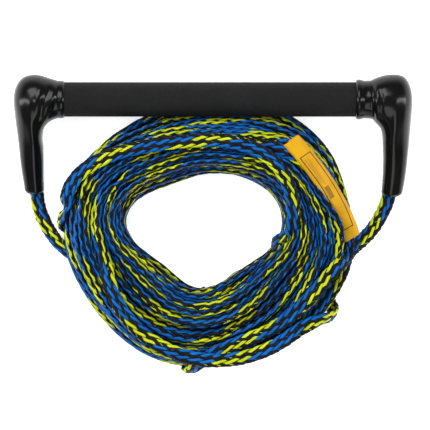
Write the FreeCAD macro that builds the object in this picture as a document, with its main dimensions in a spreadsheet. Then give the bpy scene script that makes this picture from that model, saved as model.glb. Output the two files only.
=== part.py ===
import FreeCAD, Part
import Sketcher
import math
import os

# Tow rope handle: an aluminium bar with a foam-rubber grip and two moulded elbow caps, and the
# braided line that is spliced to it, wound into one coil.
# Units are millimetres. +Z is up, +X runs along the bar, and the origin is on the resting
# surface under the middle of the handle.

V = FreeCAD.Vector
doc = FreeCAD.newDocument("TowRopeHandle")

# ---------------------------------------------------------------------------------------------
# Driving dimensions
# ---------------------------------------------------------------------------------------------
sheet = doc.addObject("Spreadsheet::Sheet", "dims")
sheet.Label = "dims"
values = [
    # bar
    ("bar_height", 26.98, "height of the bar's axis above the surface"),
    ("bar_back", 30.30, "Y of the bar's axis"),
    ("handle_tilt", 13.35, "slope of the handle's plane, degrees"),
    ("tube_radius", 12.70, "1 inch aluminium tube"),
    ("tube_wall", 1.60, "wall of the tube"),
    ("tube_half", 157.0, "half length of the tube"),
    ("grip_radius", 14.30, "outside of the grip"),
    ("grip_left", -123.4, "left end of the grip"),
    ("grip_right", 119.0, "right end of the grip"),
    ("grip_round", 0.9, "rounding of the grip's ends"),
    ("plug_radius", 11.05, "shank of the end plug"),
    ("plug_depth", 14.0, "shank length of the end plug"),
    ("plug_flange", 1.9, "thickness of the plug's flange"),
    ("plug_flange_radius", 12.5, "flange of the end plug"),
    # caps
    ("cap_half", 164.6, "outer end of the caps from the middle"),
    ("collar_left", 123.5, "inner end of the left collar"),
    ("collar_right", 119.1, "inner end of the right collar"),
    ("collar_radius_left", 15.1, "radius at the mouth of the left collar"),
    ("collar_radius_right", 15.7, "radius at the mouth of the right collar"),
    ("elbow_radius", 20.1, "outer radius of the elbow round the bar"),
    ("cap_wall", 0.30, "clearance of the cap's cavities round what they hold"),
    ("tip_left", 46.9, "Y of the left tip, towards the coil"),
    ("tip_right", 49.0, "Y of the right tip, towards the coil"),
    ("tip_round", 1.3, "rounding of the rope mouth"),
    # spliced eyes in the caps
    ("eye_middle", 148.6, "X of the eye round the bar"),
    ("eye_width", 11.0, "width of the rope round the bar"),
    ("eye_thick", 5.2, "thickness of the rope round the bar"),
    ("stem_radius", 6.0, "rope where it leaves the eye"),
    # rope
    ("line_radius", 6.0, "radius of the bridle rope"),
    ("line_wide", 12.6, "wide side of the line when it lies flat"),
    ("line_thin", 5.2, "thin side of the line when it lies flat"),
    ("hinge_back", -56.2, "Y of the line through both rope exits"),
    ("hinge_up", 6.5, "height of the line through both rope exits"),
    ("exit_left", -146.0, "X of the left exit"),
    ("exit_right", 144.7, "X of the right exit"),
    # coil
    ("coil_x", -5.8, "X of the coil's centre"),
    ("coil_y", -84.4, "Y of the coil's centre"),
    ("coil_top", 52.0, "height of the coil"),
    ("coil_clear", 0.7, "room between the coil and the grip"),
    # tow loop
    ("loop_radius", 83.0, "mean radius of the arc that the tow loop follows"),
    ("loop_half_width", 12.0, "from the loop's middle line to the middle of its rope"),
    ("loop_half_angle", 27.0, "half the arc that the loop spans, degrees"),
    ("loop_middle", -143.0, "direction of the loop's middle from the coil's centre, degrees"),
    # label
    ("label_length", 92.0, "length of the label sleeve"),
    ("label_width", 16.6, "width of the label sleeve"),
    ("label_thick", 6.8, "thickness of the label sleeve"),
    ("label_wall", 0.5, "wall of the label sleeve"),
    ("label_x", 92.9, "X of the sleeve's middle"),
    ("label_y", -41.4, "Y of the sleeve's middle"),
    ("label_z", 45.4, "height of the sleeve's middle"),
    ("label_turn", -56.4, "direction of the sleeve in plan, degrees"),
    ("label_slope", 8.5, "fall of the sleeve along its length, degrees"),
    ("label_roll", 12.0, "lean of the sleeve towards the outside, degrees"),
    ("tag_rope_wide", 12.2, "wide side of the rope in the label"),
    ("tag_rope_thin", 5.0, "thin side of the rope in the label"),
    ("tag_rope_length", 94.0, "length of the rope in the label"),
]
for row, (name, value, note) in enumerate(values, start=1):
    sheet.set("A%d" % row, name)
    sheet.set("B%d" % row, str(value))
    sheet.set("C%d" % row, note)
    sheet.setAlias("B%d" % row, name)
doc.recompute()


def dim(name):
    return float(sheet.get(name))


def bind(obj, prop, expr):
    obj.setExpression(prop, expr)


def plane(body, role):
    return [f for f in body.Origin.OriginFeatures if f.Role == role][0]


def new_body(label):
    body = doc.addObject("PartDesign::Body", label)
    body.Label = label
    return body


def new_sketch(body, name, role="XY_Plane"):
    sk = body.newObject("Sketcher::SketchObject", name)
    sk.AttachmentSupport = [(plane(body, role), "")]
    sk.MapMode = "FlatFace"
    return sk


def circle_in(sk, radius_expr):
    g = sk.addGeometry(Part.Circle(V(0, 0, 0), V(0, 0, 1), 10.0), False)
    sk.addConstraint(Sketcher.Constraint("Coincident", g, 3, -1, 1))
    c = sk.addConstraint(Sketcher.Constraint("Radius", g, 10.0))
    bind(sk, "Constraints[%d]" % c, radius_expr)
    return g


# The handle is drawn flat, with the bar's axis on X, and then laid down: its bar rests on the
# coil and its two tips rest on the surface.
TILT = dim("handle_tilt")
HANDLE = FreeCAD.Placement(
    V(0, dim("bar_back"), dim("bar_height")), FreeCAD.Rotation(V(1, 0, 0), TILT)
)
COS = math.cos(math.radians(TILT))


def flat_y(y):
    """Distance from the bar's axis in the handle's own plane, for a point seen at Y in plan."""
    return (y - dim("bar_back")) / COS


def in_bar_direction(body):
    """The sketch plane YZ has its normal on X, so pads run along the bar."""
    body.Placement = HANDLE


nodes = []

# ---------------------------------------------------------------------------------------------
# Bar: tube, end plugs and grip
# ---------------------------------------------------------------------------------------------
body = new_body("core_tube")
sk = new_sketch(body, "core_tube_section", "YZ_Plane")
circle_in(sk, "dims.tube_radius")
circle_in(sk, "dims.tube_radius - dims.tube_wall")
pad = body.newObject("PartDesign::Pad", "core_tube_pad")
pad.Profile = sk
pad.Midplane = True
bind(pad, "Length", "2 * dims.tube_half")
doc.recompute()
in_bar_direction(body)
nodes.append(body)


def end_plug(label, sign):
    """A moulded plug: a shank in the tube and a flange on its end."""
    body = new_body(label)
    sk = new_sketch(body, label + "_profile", "XY_Plane")
    x0 = dim("tube_half") - dim("plug_depth")
    x1 = dim("tube_half")
    x2 = x1 + dim("plug_flange")
    r1, r2 = dim("plug_radius"), dim("plug_flange_radius")
    pts = [(x0, 0), (x2, 0), (x2, r2), (x1, r2), (x1, r1), (x0, r1)]
    pts = [(sign * x, y) for x, y in pts]
    g = []
    for i, p in enumerate(pts):
        q = pts[(i + 1) % len(pts)]
        g.append(sk.addGeometry(Part.LineSegment(V(p[0], p[1], 0), V(q[0], q[1], 0)), False))
    for i in range(len(g)):
        sk.addConstraint(Sketcher.Constraint("Coincident", g[i], 2, g[(i + 1) % len(g)], 1))
    for i in (0, 2, 4):
        sk.addConstraint(Sketcher.Constraint("Horizontal", g[i]))
    for i in (1, 3, 5):
        sk.addConstraint(Sketcher.Constraint("Vertical", g[i]))
    sk.addConstraint(Sketcher.Constraint("PointOnObject", g[0], 1, -1))
    for expr, edge, point, kind in (
        ("dims.plug_flange_radius", 1, 2, "DistanceY"),
        ("dims.plug_radius", 4, 1, "DistanceY"),
    ):
        c = sk.addConstraint(Sketcher.Constraint(kind, -1, 1, g[edge], point, r2 if edge == 1 else r1))
        bind(sk, "Constraints[%d]" % c, expr)
    for expr, edge, point, value in (
        ("dims.tube_half - dims.plug_depth", 0, 1, x0),
        ("dims.tube_half + dims.plug_flange", 0, 2, x2),
        ("dims.tube_half", 3, 1, x1),
    ):
        if sign > 0:
            c = sk.addConstraint(Sketcher.Constraint("DistanceX", -1, 1, g[edge], point, value))
        else:
            c = sk.addConstraint(Sketcher.Constraint("DistanceX", g[edge], point, -1, 1, value))
        bind(sk, "Constraints[%d]" % c, expr)
    doc.recompute()
    rev = body.newObject("PartDesign::Revolution", label + "_turned")
    rev.Profile = sk
    rev.ReferenceAxis = (sk, ["H_Axis"])
    rev.Angle = 360.0
    doc.recompute()
    body.Placement = HANDLE
    return body


nodes.append(end_plug("end_plug_left", -1))
nodes.append(end_plug("end_plug_right", 1))

body = new_body("grip_sleeve")
sk = new_sketch(body, "grip_section", "YZ_Plane")
circle_in(sk, "dims.grip_radius")
circle_in(sk, "dims.tube_radius + 0.02")
pad = body.newObject("PartDesign::Pad", "grip_pad")
pad.Profile = sk
bind(pad, "Length", "dims.grip_right - dims.grip_left")
doc.recompute()
outer = [
    "Edge%d" % (i + 1)
    for i, e in enumerate(pad.Shape.Edges)
    if isinstance(e.Curve, Part.Circle) and abs(e.Curve.Radius - dim("grip_radius")) < 1e-4
]
fil = body.newObject("PartDesign::Fillet", "grip_rounded")
fil.Base = (pad, outer)
bind(fil, "Radius", "dims.grip_round")
doc.recompute()
body.Placement = FreeCAD.Placement(V(dim("grip_left"), 0, 0), FreeCAD.Rotation())
body.Placement = HANDLE.multiply(body.Placement)
nodes.append(body)


# ---------------------------------------------------------------------------------------------
# Elbow caps: a soft skin moulded over the end of the bar, the eye and the start of the rope
# ---------------------------------------------------------------------------------------------
def oval(centre, across, half_in, half_out):
    """Points round a closed oval in the plane of across and Z, through the elbow at one station."""
    n = 16
    pts = []
    for i in range(n):
        a = 2 * math.pi * i / n
        d = half_in * math.cos(a)
        pts.append(V(centre[0] + across[0] * d, centre[1] + across[1] * d, half_out * math.sin(a)))
    return pts + pts[:1]


def solid_of(shape):
    solid = shape.Solids[0] if shape.Solids else Part.Solid(shape)
    if solid.Volume < 0:
        solid.reverse()
    return solid


def skin_solid(rows):
    """One smooth surface through rows of points, closed by a flat face at each end."""
    surface = Part.BSplineSurface()
    surface.interpolate(rows)
    side = surface.toShape()
    ends = [Part.Face(Part.Wire([e])) for e in side.Edges if e.isClosed()]
    shell = Part.Shell([side] + ends)
    shell.sewShape()
    solid = Part.Solid(shell)
    solid.fix(1e-6, 1e-6, 1e-3)
    return solid_of(solid)


# Inner and outer points of the elbow at each station: distance from the handle's middle along
# the bar, and Y in plan, with half the thickness across the handle's plane.
ELBOW = {
    "left": [
        ((127.8, 15.8), None, None),
        ((132.2, 16.9), None, None),
        ((136.0, 11.6), (138.2, 48.6), 18.9),
        ((139.2, 8.0), (146.4, 50.3), 19.8),
        ((141.0, 3.8), (156.6, 48.2), 19.8),
        ((141.7, -1.6), (163.6, 38.6), 19.0),
        ((141.2, -7.4), (164.4, 21.0), 16.4),
        ((140.8, -14.4), (162.4, 3.6), 12.9),
        ((140.7, -23.0), (160.8, -13.0), 10.6),
        ((140.8, -32.6), (159.0, -29.0), 9.4),
        ((140.7, -40.6), (157.4, -39.9), 8.6),
    ],
    "right": [
        ((124.8, 15.9), None, None),
        ((130.2, 16.2), None, None),
        ((134.2, 11.6), (136.8, 48.6), 18.9),
        ((137.6, 8.2), (145.8, 50.3), 19.8),
        ((139.6, 4.2), (157.0, 49.0), 19.9),
        ((140.4, -1.0), (163.6, 38.8), 19.2),
        ((140.7, -7.4), (164.5, 21.4), 16.9),
        ((141.3, -15.0), (163.2, 4.0), 13.6),
        ((141.4, -24.4), (161.9, -13.4), 11.4),
        ((141.1, -34.4), (160.3, -30.4), 10.1),
        ((140.5, -42.4), (158.6, -41.5), 8.9),
    ],
}
TIP_HALF = {"left": 8.2, "right": 8.7}
# direction of each leg in the handle's plane
LEG_TOP = {"left": 151.6, "right": 151.9}
LEG_END = {"left": 148.5, "right": 148.7}


def cap_skin(side):
    s = -1.0 if side == "left" else 1.0
    wires = []
    wires.append(oval((s * dim("collar_" + side), 0.0), (0, 1), dim("collar_radius_" + side), dim("collar_radius_" + side)))
    for inner, outer, half_out in ELBOW[side]:
        if outer is None:
            wires.append(oval((s * inner[0], 0.0), (0, 1), inner[1], inner[1]))
            continue
        p = V(s * inner[0], flat_y(inner[1]), 0)
        q = V(s * outer[0], flat_y(outer[1]), 0)
        c = (p + q) * 0.5
        d = q - p
        half = d.Length / 2
        d.normalize()
        wires.append(oval((c.x, c.y), (d.x, d.y), half, half_out))
    tip = V(s * LEG_END[side], flat_y(-dim("tip_" + side)), 0)
    top = V(s * LEG_TOP[side], 0, 0)
    along = tip - top
    along.normalize()
    across = V(-s * along.y, s * along.x, 0)
    wires.append(oval((tip.x, tip.y), (across.x, across.y), TIP_HALF[side], TIP_HALF[side]))
    return skin_solid(wires), top, tip, along


def cap(side):
    s = -1.0 if side == "left" else 1.0
    label = "end_cap_" + side
    solid, top, tip, along = cap_skin(side)
    base = doc.addObject("Part::Feature", label + "_skin")
    base.Shape = solid
    bar = doc.addObject("Part::Cylinder", label + "_bar_hole")
    bind(bar, "Radius", "dims.tube_radius + 0.05")
    bind(bar, "Height", "dims.tube_half + dims.plug_flange + 0.15 - 100")
    bar.Placement = FreeCAD.Placement(V(s * 100, 0, 0), FreeCAD.Rotation(V(0, 0, 1), V(s, 0, 0)))
    ring = doc.addObject("Part::Cylinder", label + "_eye_room")
    bind(ring, "Radius", "dims.tube_radius + dims.eye_thick + dims.cap_wall")
    bind(ring, "Height", "dims.eye_width + 2 * dims.cap_wall")
    ring.Placement = FreeCAD.Placement(
        V(s * (dim("eye_middle") - dim("eye_width") / 2 - dim("cap_wall")), 0, 0),
        FreeCAD.Rotation(V(0, 0, 1), V(s, 0, 0)),
    )
    stem = doc.addObject("Part::Cylinder", label + "_rope_hole")
    bind(stem, "Radius", "dims.stem_radius + dims.cap_wall")
    stem.Height = (tip - top).Length + 10.0
    stem.Placement = FreeCAD.Placement(top, FreeCAD.Rotation(V(0, 0, 1), along))
    room = doc.addObject("Part::MultiFuse", label + "_room")
    room.Shapes = [bar, ring, stem]
    cut = doc.addObject("Part::Cut", label + "_cut")
    cut.Base = base
    cut.Tool = room
    doc.recompute()
    # the mouth for the rope is rounded over
    end = []
    for i, e in enumerate(cut.Shape.Edges):
        c = e.BoundBox.Center
        if (c - tip).Length < 3.0 and e.Length > 2 * math.pi * (TIP_HALF[side] - 1.0):
            end.append((i + 1, dim("tip_round"), dim("tip_round")))
    rounded = doc.addObject("Part::Fillet", label)
    rounded.Label = label
    rounded.Base = cut
    rounded.Edges = end
    doc.recompute()
    if rounded.Shape.isNull() or not rounded.Shape.isValid() or not end:
        doc.removeObject(rounded.Name)
        rounded = cut
        rounded.Label = label
    rounded.Placement = HANDLE
    return rounded, top, tip, along


LEG = {}
for side in ("left", "right"):
    made, top, tip, along = cap(side)
    LEG[side] = (top, tip, along)
    nodes.append(made)


# ---------------------------------------------------------------------------------------------
# Spliced eyes: the rope goes round the bar inside each cap and leaves through its leg
# ---------------------------------------------------------------------------------------------
def eye(side):
    s = -1.0 if side == "left" else 1.0
    label = "bridle_eye_" + side
    top, tip, along = LEG[side]
    ring = doc.addObject("Part::Cylinder", label + "_round")
    bind(ring, "Radius", "dims.tube_radius + dims.eye_thick")
    bind(ring, "Height", "dims.eye_width")
    ring.Placement = FreeCAD.Placement(
        V(s * (dim("eye_middle") - dim("eye_width") / 2), 0, 0),
        FreeCAD.Rotation(V(0, 0, 1), V(s, 0, 0)),
    )
    stem = doc.addObject("Part::Cylinder", label + "_stem")
    bind(stem, "Radius", "dims.stem_radius")
    stem.Height = (tip - top).Length - 1.6
    stem.Placement = FreeCAD.Placement(top, FreeCAD.Rotation(V(0, 0, 1), along))
    both = doc.addObject("Part::Fuse", label + "_joined")
    both.Base = ring
    both.Tool = stem
    hole = doc.addObject("Part::Cylinder", label + "_bar")
    bind(hole, "Radius", "dims.tube_radius + 0.1")
    hole.Height = 60.0
    hole.Placement = FreeCAD.Placement(V(s * 118, 0, 0), FreeCAD.Rotation(V(0, 0, 1), V(s, 0, 0)))
    cut = doc.addObject("Part::Cut", label)
    cut.Label = label
    cut.Base = both
    cut.Tool = hole
    doc.recompute()
    cut.Placement = HANDLE
    return cut


nodes.append(eye("left"))
nodes.append(eye("right"))


# ---------------------------------------------------------------------------------------------
# Coil: the outer shape of about forty turns of the line
# ---------------------------------------------------------------------------------------------
K = 0.827
OUTER = [148.5, 148.5, 149, 154, 160, 162, 158, 152, 148, 145, 142.5, 141, 141, 144, 146.5, 148,
         149, 149.5, 148, 144, 140.5, 139, 138.5, 137.5, 136, 135.5, 135, 132.5, 130.5, 133.5, 138.5,
         143, 147, 150, 150.5, 149.5]
INNER = [73, 81, 83.5, 83, 79.5, 74, 70, 67.5, 66, 65, 64, 63.5, 64, 67.5, 73.5, 79.5, 82.5, 80.5,
         73, 62.5, 54, 49, 47, 46.5, 48, 50.5, 52.5, 52, 49.5, 46.5, 44, 42.5, 43, 45.5, 52, 62]


def outline(radii, shift):
    pts = []
    n = len(radii)
    for j in range(n):
        i = (j + 26) % n
        a = 2 * math.pi * i / n
        r = radii[i] * K + shift
        pts.append(V(dim("coil_x") + r * math.cos(a), dim("coil_y") + r * math.sin(a), 0))
    return pts


def ring_row(radii, shift, z):
    pts = [V(p.x, p.y, z) for p in outline(radii, shift)]
    return pts + pts[:1]


top = dim("coil_top")
OUT_LEVELS = [(0.0, -8.5), (4.5, -3.4), (11.0, -0.7), (18.5, 0.0), (26.0, -0.5), (33.0, -2.4),
              (40.0, -6.2), (46.5, -11.8), (top, -19.0)]
IN_LEVELS = [(0.0, 7.0), (4.5, 2.9), (11.0, 0.6), (18.5, 0.0), (26.0, 0.3), (33.0, 1.6),
             (40.0, 4.4), (46.5, 8.8), (top, 14.5)]


outside = skin_solid([ring_row(OUTER, s, z) for z, s in OUT_LEVELS])
inside = skin_solid([ring_row(INNER, s, z) for z, s in IN_LEVELS])
coil = outside.cut(inside)

# room for the grip and for its way up, when the handle is lifted about the two rope exits
hinge = V(0, dim("hinge_back"), dim("hinge_up"))
arm = V(0, dim("bar_back"), dim("bar_height")) - hinge
reach = arm.Length
start = math.atan2(arm.z, arm.y)
gap = dim("grip_radius") + dim("coil_clear")


def polar(radius, angle, x=-170.0):
    return V(x, hinge.y + radius * math.cos(angle), hinge.z + radius * math.sin(angle))


def arc3(a, b, c):
    return Part.Arc(a, b, c).toShape()


stop = start + math.radians(80)
mid = 0.5 * (start + stop)
low = polar(reach, start)
low_mid = V(low.x, low.y + gap * math.sin(start), low.z - gap * math.cos(start))
high = polar(reach, stop)
high_mid = V(high.x, high.y - gap * math.sin(stop), high.z + gap * math.cos(stop))
sweep_edges = [
    arc3(polar(reach - gap, start), low_mid, polar(reach + gap, start)),
    arc3(polar(reach + gap, start), polar(reach + gap, mid), polar(reach + gap, stop)),
    arc3(polar(reach + gap, stop), high_mid, polar(reach - gap, stop)),
    arc3(polar(reach - gap, stop), polar(reach - gap, mid), polar(reach - gap, start)),
]
way = Part.Face(Part.Wire(sweep_edges)).extrude(V(340, 0, 0))
coil = coil.cut(way)

# ---------------------------------------------------------------------------------------------
# Label sleeve, and the rope inside it
# ---------------------------------------------------------------------------------------------
LABEL_TURN = FreeCAD.Rotation(V(0, 0, 1), dim("label_turn"))
LABEL = FreeCAD.Placement(
    V(dim("label_x"), dim("label_y"), dim("label_z")),
    LABEL_TURN.multiply(FreeCAD.Rotation(V(0, 1, 0), dim("label_slope"))).multiply(
        FreeCAD.Rotation(V(1, 0, 0), -dim("label_roll"))
    ),
)


def stadium(sk, wide, thin, wide_expr, thin_expr):
    """A flattened round section: two half circles joined by straight sides."""
    r = thin / 2
    h = wide / 2 - r
    a = sk.addGeometry(Part.ArcOfCircle(Part.Circle(V(h, 0, 0), V(0, 0, 1), r), -math.pi / 2, math.pi / 2), False)
    b = sk.addGeometry(Part.LineSegment(V(h, r, 0), V(-h, r, 0)), False)
    c = sk.addGeometry(Part.ArcOfCircle(Part.Circle(V(-h, 0, 0), V(0, 0, 1), r), math.pi / 2, 1.5 * math.pi), False)
    d = sk.addGeometry(Part.LineSegment(V(-h, -r, 0), V(h, -r, 0)), False)
    sk.addConstraint(Sketcher.Constraint("Tangent", a, 2, b, 1))
    sk.addConstraint(Sketcher.Constraint("Tangent", b, 2, c, 1))
    sk.addConstraint(Sketcher.Constraint("Tangent", c, 2, d, 1))
    sk.addConstraint(Sketcher.Constraint("Tangent", d, 2, a, 1))
    sk.addConstraint(Sketcher.Constraint("PointOnObject", a, 3, -1))
    sk.addConstraint(Sketcher.Constraint("Symmetric", a, 3, c, 3, -1, 1))
    k = sk.addConstraint(Sketcher.Constraint("Radius", a, r))
    bind(sk, "Constraints[%d]" % k, thin_expr)
    k = sk.addConstraint(Sketcher.Constraint("DistanceX", -1, 1, a, 3, h))
    bind(sk, "Constraints[%d]" % k, wide_expr)


def flat_pad(label, length_expr, sections, placement):
    body = new_body(label)
    sk = new_sketch(body, label + "_section", "YZ_Plane")
    for wide, thin, we, te in sections:
        stadium(sk, wide, thin, we, te)
    pad = body.newObject("PartDesign::Pad", label + "_pad")
    pad.Profile = sk
    pad.Midplane = True
    bind(pad, "Length", length_expr)
    doc.recompute()
    body.Placement = placement
    return body


lw, lt, lwall = dim("label_width"), dim("label_thick"), dim("label_wall")
label_body = flat_pad(
    "label_sleeve",
    "dims.label_length",
    [
        (lw, lt, "dims.label_width / 2 - dims.label_thick / 2", "dims.label_thick / 2"),
        (
            lw - 2 * lwall,
            lt - 2 * lwall,
            "dims.label_width / 2 - dims.label_thick / 2",
            "dims.label_thick / 2 - dims.label_wall",
        ),
    ],
    LABEL,
)
tag_body = flat_pad(
    "tagged_turn",
    "dims.tag_rope_length",
    [
        (
            dim("tag_rope_wide"),
            dim("tag_rope_thin"),
            "dims.tag_rope_wide / 2 - dims.tag_rope_thin / 2",
            "dims.tag_rope_thin / 2",
        )
    ],
    LABEL,
)

# the label lies in a shallow trough of the coil, open upwards
room = 0.5
trough = Part.makeBox(
    dim("tag_rope_length") + 2 * 0.0, lw + 2 * room, 60.0,
    V(-dim("tag_rope_length") / 2, -lw / 2 - room, -lt / 2 - room),
)
trough.Placement = LABEL.multiply(trough.Placement)
coil = coil.cut(trough)

# ---------------------------------------------------------------------------------------------
# Tow loop: the spliced eye at the boat end, lying flat under the coil
# ---------------------------------------------------------------------------------------------
body = new_body("tow_loop")
sk = new_sketch(body, "tow_loop_plan", "XY_Plane")
lr, lh, la = dim("loop_radius"), dim("loop_half_width"), math.radians(dim("loop_half_angle"))
half_rope = dim("line_wide") / 2


def loop_ring(sk, offset):
    """Curved slot round the arc: two arcs about the coil's centre and two half circles."""
    r = lh + offset
    g = []
    g.append(sk.addGeometry(Part.ArcOfCircle(Part.Circle(V(0, 0, 0), V(0, 0, 1), lr + r), -la, la), False))
    c = V(lr * math.cos(la), lr * math.sin(la), 0)
    g.append(sk.addGeometry(Part.ArcOfCircle(Part.Circle(c, V(0, 0, 1), r), la, la + math.pi), False))
    g.append(sk.addGeometry(Part.ArcOfCircle(Part.Circle(V(0, 0, 0), V(0, 0, 1), lr - r), -la, la), False))
    c = V(lr * math.cos(la), -lr * math.sin(la), 0)
    g.append(sk.addGeometry(Part.ArcOfCircle(Part.Circle(c, V(0, 0, 1), r), math.pi - la, 2 * math.pi - la), False))
    sk.addConstraint(Sketcher.Constraint("Coincident", g[0], 3, -1, 1))
    sk.addConstraint(Sketcher.Constraint("Coincident", g[2], 3, -1, 1))
    sk.addConstraint(Sketcher.Constraint("Tangent", g[0], 2, g[1], 1))
    sk.addConstraint(Sketcher.Constraint("Tangent", g[1], 2, g[2], 2))
    sk.addConstraint(Sketcher.Constraint("Tangent", g[2], 1, g[3], 1))
    sk.addConstraint(Sketcher.Constraint("Tangent", g[3], 2, g[0], 1))
    c0 = sk.addConstraint(Sketcher.Constraint("Radius", g[0], lr + r))
    bind(sk, "Constraints[%d]" % c0, "dims.loop_radius + dims.loop_half_width %+.4f" % offset)
    c1 = sk.addConstraint(Sketcher.Constraint("Radius", g[1], r))
    bind(sk, "Constraints[%d]" % c1, "dims.loop_half_width %+.4f" % offset)
    for end in (g[1], g[3]):
        c2 = sk.addConstraint(Sketcher.Constraint("DistanceX", -1, 1, end, 3, lr * math.cos(la)))
        bind(sk, "Constraints[%d]" % c2, "dims.loop_radius * cos(dims.loop_half_angle * 1 deg)")


loop_ring(sk, half_rope)
loop_ring(sk, -half_rope)
pad = body.newObject("PartDesign::Pad", "tow_loop_pad")
pad.Profile = sk
bind(pad, "Length", "dims.line_thin")
doc.recompute()
fil = body.newObject("PartDesign::Fillet", "tow_loop_rounded")
fil.Base = (pad, ["Edge%d" % (i + 1) for i, e in enumerate(pad.Shape.Edges) if abs(e.BoundBox.ZLength) < 1e-6])
fil.Radius = 2.0
doc.recompute()
if fil.Shape.isNull() or not fil.isValid():
    body.removeObject(fil)
    doc.removeObject(fil.Name)
    body.Tip = pad
    doc.recompute()
LOOP = FreeCAD.Placement(
    V(dim("coil_x"), dim("coil_y"), 0.3), FreeCAD.Rotation(V(0, 0, 1), dim("loop_middle"))
)
body.Placement = LOOP
loop_body = body


def slot_solid(offset, height):
    r = lh + offset
    a0 = V((lr + r) * math.cos(la), -(lr + r) * math.sin(la), 0)
    a1 = V((lr + r) * math.cos(la), (lr + r) * math.sin(la), 0)
    b0 = V((lr - r) * math.cos(la), -(lr - r) * math.sin(la), 0)
    b1 = V((lr - r) * math.cos(la), (lr - r) * math.sin(la), 0)
    c1 = V(lr * math.cos(la), lr * math.sin(la), 0)
    c0 = V(lr * math.cos(la), -lr * math.sin(la), 0)
    t = V(-math.sin(la), math.cos(la), 0)
    w = [
        arc3(a0, V(lr + r, 0, 0), a1),
        arc3(a1, c1 + t * r, b1),
        arc3(b1, V(lr - r, 0, 0), b0),
        arc3(b0, c0 + V(t.x, -t.y, 0) * r, a0),
    ]
    solid = Part.Face(Part.Wire(w)).extrude(V(0, 0, height))
    solid.Placement = FreeCAD.Placement(
        V(dim("coil_x"), dim("coil_y"), -1.0), FreeCAD.Rotation(V(0, 0, 1), dim("loop_middle"))
    )
    return solid


pocket = slot_solid(half_rope + 0.4, 1.0 + 0.3 + dim("line_thin") + 0.4)
core = slot_solid(-half_rope - 0.4, 1.0 + 0.3 + dim("line_thin") + 0.4)
coil = coil.cut(pocket.cut(core))


# ---------------------------------------------------------------------------------------------
# Bridle legs: from each exit to the coil
# ---------------------------------------------------------------------------------------------
def route_path(points):
    """Straight runs joined by tangent arcs, each as large as its two runs allow."""
    pts = [V(*p) for p in points]
    edges = []
    radii = []
    here = pts[0]
    for i in range(1, len(pts) - 1):
        a, b, c = pts[i - 1], pts[i], pts[i + 1]
        u = (a - b)
        v = (c - b)
        run = min(u.Length, v.Length)
        u.normalize()
        v.normalize()
        turn = math.pi - u.getAngle(v)
        radius = 0.45 * run / math.tan(turn / 2)
        back = 0.45 * run
        p, q = b + u * back, b + v * back
        bis = u + v
        bis.normalize()
        centre = b + bis * (radius / math.cos(turn / 2))
        m = centre - bis * radius
        edges.append(Part.LineSegment(here, p).toShape())
        edges.append(Part.Arc(p, m, q).toShape())
        here = q
        radii.append(radius)
    edges.append(Part.LineSegment(here, pts[-1]).toShape())
    return Part.Wire(edges), radii


LEG_ROUTE = {
    # the first point of each is on the line that the handle turns about
    "left": [
        (-146.0, -56.2, 6.5),
        (-143.0, -65.8, 6.3),
        (-138.7, -74.8, 6.5),
        (-133.3, -83.3, 7.1),
        (-126.9, -90.9, 8.1),
        (-119.5, -97.5, 9.5),
    ],
    "right": [
        (144.7, -56.2, 6.5),
        (140.3, -65.4, 8.2),
        (135.1, -73.8, 11.2),
        (129.2, -81.2, 15.4),
        (122.7, -87.3, 20.7),
        (116.0, -92.0, 27.0),
    ],
}

for side in ("left", "right"):
    label = "bridle_leg_" + side
    pts = LEG_ROUTE[side]
    path, radii = route_path(pts)
    first = V(*pts[1]) - V(*pts[0])
    first.normalize()
    section = Part.Wire([Part.makeCircle(dim("line_radius"), V(*pts[0]), first)])
    tube = path.makePipeShell([section], True, False)
    tube = solid_of(tube)
    want = math.pi * dim("line_radius") ** 2 * path.Length
    print(
        "%s: length %.1f, radii %s, volume %.0f for %.0f"
        % (label, path.Length, " ".join("%.0f" % r for r in radii), tube.Volume, want)
    )
    # the leg starts in a round end, centred on the line that the handle turns about
    ball = Part.makeSphere(dim("line_radius"), V(*pts[0]))
    tube = tube.fuse(ball).removeSplitter()
    tube = tube.cut(coil)
    near = [s for s in tube.Solids if s.distToShape(Part.Vertex(V(*pts[0])))[0] < 1e-3]
    leg = doc.addObject("Part::Feature", label)
    leg.Label = label
    leg.Shape = near[0]
    nodes.append(leg)

coil_node = doc.addObject("Part::Feature", "rope_coil")
coil_node.Label = "rope_coil"
coil_node.Shape = max(coil.Solids, key=lambda s: s.Volume)
nodes.append(coil_node)
tag_node = tag_body
nodes.append(tag_node)
nodes.append(loop_body)
nodes.append(label_body)

# ---------------------------------------------------------------------------------------------
# Checks, then one file for each piece
# ---------------------------------------------------------------------------------------------
doc.recompute()
bad = [o.Label for o in doc.Objects if "Invalid" in o.State or "Error" in o.State]
for o in nodes:
    if o.Shape.isNull() or not o.Shape.isValid() or not o.Shape.Solids:
        bad.append(o.Label)
if bad:
    raise RuntimeError("failed: %s" % ", ".join(bad))

os.makedirs("parts", exist_ok=True)
for o in nodes:
    o.Shape.exportStep("parts/%s.step" % o.Label)
    b = o.Shape.BoundBox
    print(
        "%-18s solids %d vol %9.0f  x %.1f %.1f  y %.1f %.1f  z %.2f %.2f"
        % (o.Label, len(o.Shape.Solids), o.Shape.Volume, b.XMin, b.XMax, b.YMin, b.YMax, b.ZMin, b.ZMax)
    )
print("written", len(nodes), "pieces")
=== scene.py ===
import math
import bpy
import numpy as np
import bmesh
from mathutils import Matrix, Vector


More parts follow.
